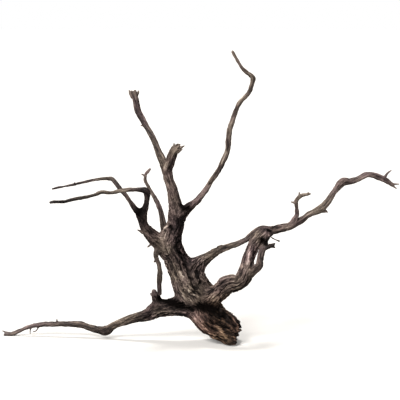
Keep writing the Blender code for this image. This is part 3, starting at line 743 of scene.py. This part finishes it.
def cap_fans(points, triangles):
    """A middle point and a fan of triangles for each open rim."""
    count = len(points)
    edges = np.vstack([triangles[:, [k, (k + 1) % 3]] for k in range(3)])
    keys = edges[:, 0] * count + edges[:, 1]
    backward = edges[:, 1] * count + edges[:, 0]
    rim = edges[~np.isin(keys, backward)]
    label = groups(count, rim)[rim[:, 0]]
    which = np.unique(label, return_inverse=True)[1]
    sizes = np.bincount(which)
    middles = np.stack([np.bincount(which, points[rim[:, 0], axis]) / sizes for axis in range(3)], 1)
    fans = np.stack([rim[:, 1], rim[:, 0], count + which], 1)
    return middles, fans


# --- Relief ---

BLEND = 1.2  # limbs' reliefs fade into each other over this distance
SPIRAL = 1 / 170.0  # the grain's turn round a limb, in radians per millimetre
SPREAD = np.array((31.7, 17.3, 53.1))  # keeps the limbs' grains apart
SLIVER = 0.04  # a limb with a smaller share in a point's relief is left out
TORN_WOOD = (62, 34)  # from the stump's end: where the torn wood begins, and where it is all torn
WARM_WOOD = (80, 38)  # the same for the stump's warmer colour
PREVAILING = (0.55, 0.95)  # a limb's share where its grain begins to show, and where it is clear
THICK = 12.0  # radius of a limb that is carved to the full depth
SWIRL_SIZE = 5.0  # the grain wanders in lumps this wide
SWIRL = (1.3, 1.3, 4.0)  # how far it wanders, across twice and along
THIN_WOOD = (6.0, 2.5)  # radius where a limb begins to look slim, and where it is all slim
BROAD_PATCH = 38.0  # the wood's tone changes in patches this wide
SMALL_PATCH = 15.0  # with smaller ones in them


def grain(number, walked, angle, radius):
    """Coordinates that run along the fibres of a limb, given by its number, in millimetres."""
    turned = angle + walked * SPIRAL
    line = np.stack([radius * np.cos(turned), radius * np.sin(turned), walked], -1)
    return line + SPREAD * number


def relief(line, radius, torn):
    """Height of the carved surface over the bare limb, how deep it lies in a crack, and how pale
    its fibres are. Torn wood, from 0 to 1, is split along its fibres instead of crusted."""
    bulk = np.clip(radius / THICK, 0.0, 1.0)
    swirl = np.stack([noise(line / SWIRL_SIZE, seed) for seed in (101, 103, 107)], -1)
    line = line + swirl * SWIRL * bulk[:, None]

    def streaks(width, stretch, seed):
        """Noise in streaks of a width, drawn out along the fibres."""
        return noise(line / (width, width, width * stretch), seed)

    rough = smooth(0.3, 0.85, bulk) * (0.45 + 0.8 * smooth(-0.3, 0.4, streaks(11.0, 2.2, 57)))
    folds = streaks(9.0, 4.0, 11)
    grooves = 2.2 * np.abs(streaks(4.6, 6.0, 23)) - 0.6
    crust = 0.8 - 2.2 * np.abs(streaks(2.6, 3.6, 37))
    flakes = streaks(1.6, 4.2, 41)
    strands = streaks(1.6, 9.0, 43)
    knots = streaks(5.5, 1.0, 71)
    gate = smooth(-0.2, 0.3, streaks(14.0, 2.0, 67))
    crack = np.clip(1 - np.abs(streaks(5.5, 6.0, 51)) / 0.2, 0, 1) * gate
    fine = np.clip(1 - np.abs(streaks(2.6, 5.0, 79)) / 0.22, 0, 1)
    sound = (folds * (0.25 + 0.85 * bulk) + grooves * (0.12 + 0.55 * bulk)
             + crust * (0.03 + 0.75 * rough) + flakes * (0.04 + 0.55 * rough)
             + strands * (0.16 + 0.1 * bulk) + knots * 0.6 * (1 - bulk)
             - crack * (0.2 + 1.7 * bulk) - fine * (0.1 + 0.5 * bulk))
    shards = 2.6 * np.abs(streaks(4.0, 9.0, 91)) - 0.8
    fibres = 2.0 * np.abs(streaks(1.9, 14.0, 93)) - 0.5
    split = 0.6 * folds + 1.2 * shards + 0.6 * fibres - 1.4 * crack + 0.5 * crust + 0.3 * flakes
    pale = (0.4 * strands + 0.4 * streaks(3.2, 6.0, 89) + 0.4 * streaks(7.0, 4.0, 83)
            + 0.7 * (1 - bulk) * streaks(4.0, 2.6, 61) + rough * (0.42 * crust + 0.38 * flakes))
    pale = pale * (0.6 + 0.5 * bulk)
    streaked = (0.6 * fibres + 0.3 * shards + 0.5 * streaks(2.2, 8.0, 97) + 0.55 * crust
                + 0.4 * flakes - 0.45)
    height = sound + (split - sound) * torn
    crack = crack * (0.5 + 0.5 * rough) + 0.6 * fine * (1 - torn) * rough
    crack = crack + np.clip(-shards, 0, 1) * 0.9 * torn
    return height * smooth(0.5, 1.8, radius), crack, pale + (streaked - pale) * torn


def from_stump(points):
    """How far points lie from the stump's torn end."""
    return lengths(points - ROUTES["stem"][0][:3])


def carve(points, table):
    """Relief height, crack depth and paleness at each point, blended from the limbs there, and
    how far one limb prevails."""
    gap, walked, angle, radius = table
    weight = np.exp((gap.min(1, keepdims=True) - gap) / BLEND)
    weight[weight < SLIVER] = 0
    weight /= weight.sum(1, keepdims=True)
    torn = smooth(*TORN_WOOD, from_stump(points))
    total = np.zeros((3, len(gap)))
    for number in np.flatnonzero(weight.any(0)):
        rows = np.flatnonzero(weight[:, number])
        local = [sheet[rows, number] for sheet in (walked, angle, radius)]
        total[:, rows] += weight[rows, number] * relief(grain(number, *local), local[2], torn[rows])
    return (*total, smooth(*PREVAILING, weight.max(1)))


def paint_stains_and_light(points):
    """How pale, or under 0 how dark, the stains and the painted shade and highlights make the wood."""
    total = np.zeros(len(points))
    for strength, width, route in TRACED_STAINS_AND_LIGHT:
        near = np.flatnonzero(lengths(points - route.mean(0))
                              < FADE * width + lengths(route - route.mean(0)).max())
        total[near] += strength * falloff(points[near], route, width)
    return total


# --- Pieces ---

def add_object(name, data):
    """A new object in the scene."""
    made = bpy.data.objects.new(name, data)
    bpy.context.scene.collection.objects.link(made)
    return made


def add_attribute(mesh, name, domain, rows):
    """Writes three values for each point or corner of a mesh, for the materials to read."""
    layer = mesh.attributes.new(name, "FLOAT_VECTOR", domain)
    layer.data.foreach_set("vector", rows.astype(np.float32).ravel())


def add_marks(mesh, name, *columns):
    """Writes three values for each point of a mesh, with 0 for the middles of its cuts."""
    rows = np.zeros((len(mesh.vertices), 3))
    for place, column in enumerate(columns):
        rows[:len(column), place] = column
    add_attribute(mesh, name, "POINT", rows)


def make_mesh(name, points, triangles, capped):
    """A Blender mesh in metres, smooth but for its last triangles, which cap its cuts."""
    mesh = bpy.data.meshes.new(name)
    mesh.vertices.add(len(points))
    mesh.vertices.foreach_set("co", (points * MM).astype(np.float32).ravel())
    mesh.loops.add(triangles.size)
    mesh.loops.foreach_set("vertex_index", triangles.astype(np.int32).ravel())
    mesh.polygons.add(len(triangles))
    mesh.polygons.foreach_set("loop_start", np.arange(0, triangles.size, 3, dtype=np.int32))
    flat = np.arange(len(triangles)) >= len(triangles) - capped
    mesh.polygons.foreach_set("use_smooth", ~flat)
    mesh.update(calc_edges=True)
    mesh.validate()
    return mesh


def add_grain(mesh, triangles, table):
    """Writes where each corner lies along the fibres of its triangle's nearest limb, with 0 for
    the caps."""
    owner = table[0][triangles].sum(1).argmin(1)
    corners = np.zeros((len(mesh.polygons), 3, 3))
    for k in range(3):
        local = [sheet[triangles[:, k], owner] for sheet in table[1:]]
        corners[:len(triangles), k] = grain(owner[:, None], *local)
    add_attribute(mesh, "grain", "CORNER", corners)


def sawn_surface(piece):
    """A piece's bare surface between its saw cuts: points, their outward directions, triangles,
    how sunk the points are, and every limb's reading there."""
    points, quads = extract(piece)
    triangles = split_quads(points, quads)
    normals = vertex_normals(points, triangles)
    field, sunk, table = study(points)
    points = points - np.clip(field, -NUDGE, NUDGE)[:, None] * normals
    level = saw_level(piece, points, table)
    rows, triangles = saw(np.hstack([points, normals]), triangles, level)
    used, triangles = largest_shell(len(rows), triangles)
    old = used[used < len(points)]
    points, normals = rows[used, :3], rows[used, 3:]
    _, cut_sunk, cut_table = study(points[len(old):])
    sunk = np.concatenate([sunk[old], cut_sunk])
    table = np.concatenate([table[:, old], cut_table], axis=1)
    return points, normals, triangles, sunk, table


def build_piece(piece):
    """One finished piece of wood, carved, capped and marked for its material."""
    points, normals, triangles, sunk, table = sawn_surface(piece)
    height, crack, pale, flow = carve(points, table)
    points = points + height[:, None] * normals
    points[:, 2] = np.maximum(points[:, 2], FLOOR_FACE)
    middles, fans = cap_fans(points, triangles)
    everything = np.vstack([points, middles])
    mesh = make_mesh(piece + "_wood", everything, np.vstack([triangles, fans]), len(fans))
    radius = table[3][np.arange(len(points)), table[0].argmin(1)]
    tone = noise(everything / BROAD_PATCH, 5) + 0.5 * noise(everything / SMALL_PATCH, 7)
    add_marks(mesh, "marks", crack, height, pale)
    # Painted light: the stains' values hold painted shade and highlights as well as real stains, and sunk
    # marks crotches and hollows for painted shade.
    add_marks(mesh, "places", paint_stains_and_light(points), sunk, smooth(*THIN_WOOD, radius))
    add_marks(mesh, "tints", tone, smooth(*WARM_WOOD, from_stump(points)), flow)
    add_grain(mesh, triangles, table)
    return add_object(piece + "_wood", mesh)


# --- Materials ---

def linear(red, green, blue):
    """A screen colour, 0 to 255, as the linear colour that sockets take."""
    values = [c / 255.0 for c in (red, green, blue)]
    return tuple(v / 12.92 if v <= 0.04045 else ((v + 0.055) / 1.055) ** 2.4 for v in values) + (1.0,)


def node(tree, kind, inputs=(), **settings):
    """A shader node with its settings made and its inputs set or linked."""
    made = tree.nodes.new("ShaderNode" + kind)
    for key, value in settings.items():
        setattr(made, key, value)
    for key, value in dict(inputs).items():
        if isinstance(value, bpy.types.NodeSocket):
            tree.links.new(value, made.inputs[key])
        else:
            made.inputs[key].default_value = value
    return made


def calc(tree, operation, *values):
    """The result of a sum on sockets or numbers."""
    return node(tree, "Math", enumerate(values), operation=operation).outputs[0]


def add_up(tree, total, *shares):
    """A number, or a socket's value, plus a share of each layer given with it."""
    for layer, share in shares:
        total = calc(tree, "MULTIPLY_ADD", layer, share, total)
    return total


def scaled_noise(tree, line, across, along):
    """Noise that follows the fibres, with so many lumps per millimetre across and along them."""
    spot = node(tree, "VectorMath", {0: line, 1: (across, across, along)}, operation="MULTIPLY")
    made = node(tree, "TexNoise", {"Vector": spot.outputs[0], "Scale": 1.0, "Detail": 4.0,
                                   "Roughness": 0.6})
    return calc(tree, "SUBTRACT", made.outputs[0], 0.5)


def ramp(tree, value, stops):
    """A colour read from a list of stops."""
    made = node(tree, "ValToRGB", {"Fac": value})
    elements = made.color_ramp.elements
    while len(elements) < len(stops):
        elements.new(0.5)
    for element, (place, colour) in zip(elements, stops):
        element.position = place
        element.color = colour
    return made.outputs[0]


def mix(tree, share, first, second, blend="MIX"):
    """A share of the second colour laid over the first."""
    return node(tree, "Mix", {0: share, 6: first, 7: second}, data_type="RGBA", blend_type=blend,
                clamp_factor=True).outputs[2]


def split_vector(tree, name):
    """The three values of one of a mesh's attributes."""
    made = node(tree, "Attribute", attribute_name=name)
    return node(tree, "SeparateXYZ", {0: made.outputs["Vector"]}).outputs


WOOD_STOPS = [
    (0.0, linear(20, 16, 15)), (0.28, linear(54, 45, 42)), (0.5, linear(102, 88, 82)),
    (0.75, linear(158, 140, 130)), (1.0, linear(214, 198, 186)),
]
WARM = linear(255, 228, 196)
MAUVE = linear(255, 243, 253)
OLIVE = linear(252, 253, 240)
# The colour of dark stains and of painted shade.
DARK_STAIN_AND_SHADE = linear(12, 9, 8)


def wood_material(name):
    """Bare weathered wood, streaked along its fibres, with painted shade in its cracks, crotches and
    hollows.
    """
    material = bpy.data.materials.new(name)
    material.use_nodes = True
    tree = material.node_tree
    tree.nodes.clear()
    line = node(tree, "Attribute", attribute_name="grain").outputs["Vector"]
    crack, height, pale = split_vector(tree, "marks")
    stains_and_light, sunk, slim = split_vector(tree, "places")
    tone, warm, flow = split_vector(tree, "tints")
    streaks = calc(tree, "MULTIPLY", scaled_noise(tree, line, 0.55, 0.06), flow)
    fibres = calc(tree, "MULTIPLY", scaled_noise(tree, line, 1.25, 0.13), flow)
    crumbs = calc(tree, "MULTIPLY", scaled_noise(tree, line, 0.9, 0.45),
                  calc(tree, "SUBTRACT", 1.0, slim))
    # The stains' share adds painted highlights as well as real pale and dark stains.
    value = add_up(tree, 0.39, (slim, 0.1), (tone, 0.12), (height, 0.08), (pale, 0.42),
                   (stains_and_light, 0.28), (streaks, 0.75), (fibres, 0.85), (crumbs, 0.75))
    colour = ramp(tree, value, WOOD_STOPS)
    colour = mix(tree, calc(tree, "MULTIPLY", warm, 0.8), colour,
                 mix(tree, 1.0, colour, WARM, "MULTIPLY"))
    tint = add_up(tree, 0.5, (tone, 0.9))
    colour = mix(tree, 1.0, colour, mix(tree, tint, MAUVE, OLIVE), "MULTIPLY")
    # Painted shade: cracks, melted crotches and carved hollows (sunk), and the dark stains, many of them
    # painted shade, are darkened towards one dark colour.
    dark_stains_and_shade = calc(tree, "MINIMUM", stains_and_light, 0.0)
    shade = add_up(tree, 0.0, (crack, 0.68), (sunk, 0.06), (dark_stains_and_shade, -0.8))
    shade = calc(tree, "MINIMUM", shade, 0.94)
    colour = mix(tree, shade, colour, DARK_STAIN_AND_SHADE)
    roughness = add_up(tree, 0.72, (fibres, 0.4), (slim, -0.17))
    gloss = calc(tree, "MULTIPLY", add_up(tree, 0.2, (slim, 0.2)), calc(tree, "SUBTRACT", 1.0, shade))
    bump_height = add_up(tree, streaks, (fibres, 1.0), (crumbs, 0.6))
    bump = node(tree, "Bump", {"Height": bump_height, "Strength": 1.0, "Distance": 0.0009})
    shader = node(tree, "BsdfPrincipled", {"Base Color": colour, "Roughness": roughness,
                                           "Normal": bump.outputs[0], "Specular IOR Level": gloss})
    node(tree, "OutputMaterial", {"Surface": shader.outputs[0]})
    return material


# --- The studio ---

def add_camera():
    """The camera at the front, slightly above the wood."""
    camera = add_object("camera", bpy.data.cameras.new("camera"))
    camera.data.lens = CAMERA_LENS
    camera.data.sensor_width = CAMERA_SENSOR
    camera.data.dof.use_dof = False
    tilt = radians(CAMERA_ELEVATION)
    reach = Vector((0.0, -np.cos(tilt), np.sin(tilt))) * CAMERA_DISTANCE
    camera.location = Vector(CAMERA_TARGET) + reach
    camera.rotation_euler = (radians(90.0) - tilt, 0.0, 0.0)
    bpy.context.scene.camera = camera


def floor_material():
    """Warm white paper that glows a little."""
    material = bpy.data.materials.new("studio_white")
    material.use_nodes = True
    inputs = material.node_tree.nodes["Principled BSDF"].inputs
    inputs["Base Color"].default_value = (0.72, 0.69, 0.65, 1.0)
    inputs["Roughness"].default_value = 0.9
    inputs["Emission Color"].default_value = (1.0, 0.98, 0.95, 1.0)
    inputs["Emission Strength"].default_value = 0.17
    return material


def add_floor():
    """A wide white floor that throws no light back up."""
    bpy.ops.mesh.primitive_plane_add(size=FLOOR_SIZE)
    floor = bpy.context.object
    floor.name = "studio_floor"
    floor.data.materials.append(floor_material())
    floor.visible_diffuse = False
    floor.visible_glossy = False


def add_lamps():
    """A soft key from the front left, and a soft light from above and slightly behind."""
    for name, energy, spread, place in LAMPS:
        data = bpy.data.lights.new(name, "SUN")
        data.energy = energy
        data.angle = radians(spread)
        lamp = add_object(name, data)
        lamp.location = place
        lamp.rotation_euler = (-lamp.location).to_track_quat("-Z", "Y").to_euler()


def add_room():
    """A room that lights the wood dimly and looks white."""
    world = bpy.data.worlds.new("room")
    world.use_nodes = True
    tree = world.node_tree
    tree.nodes.clear()
    dim, white = (node(tree, "Background", {"Color": (1.0, 1.0, 1.0, 1.0), "Strength": strength})
                  for strength in (ROOM_LIGHT, 1.0))
    seen = node(tree, "LightPath").outputs["Is Camera Ray"]
    wall = node(tree, "MixShader", {0: seen, 1: dim.outputs[0], 2: white.outputs[0]})
    node(tree, "OutputWorld", {"Surface": wall.outputs[0]})
    bpy.context.scene.world = world
    bpy.context.scene.view_settings.view_transform = "Standard"


# --- Build ---

looks = {name: wood_material(name) for name in ("weathered_wood", "thin_wood")}
for piece in PIECES:
    slot = "thin_wood" if piece in THIN_PIECES else "weathered_wood"
    thing = build_piece(piece)
    thing.data.materials.append(looks[slot])
    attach(thing, "root")
    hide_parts(piece)

add_floor()
add_lamps()
add_room()
add_camera()
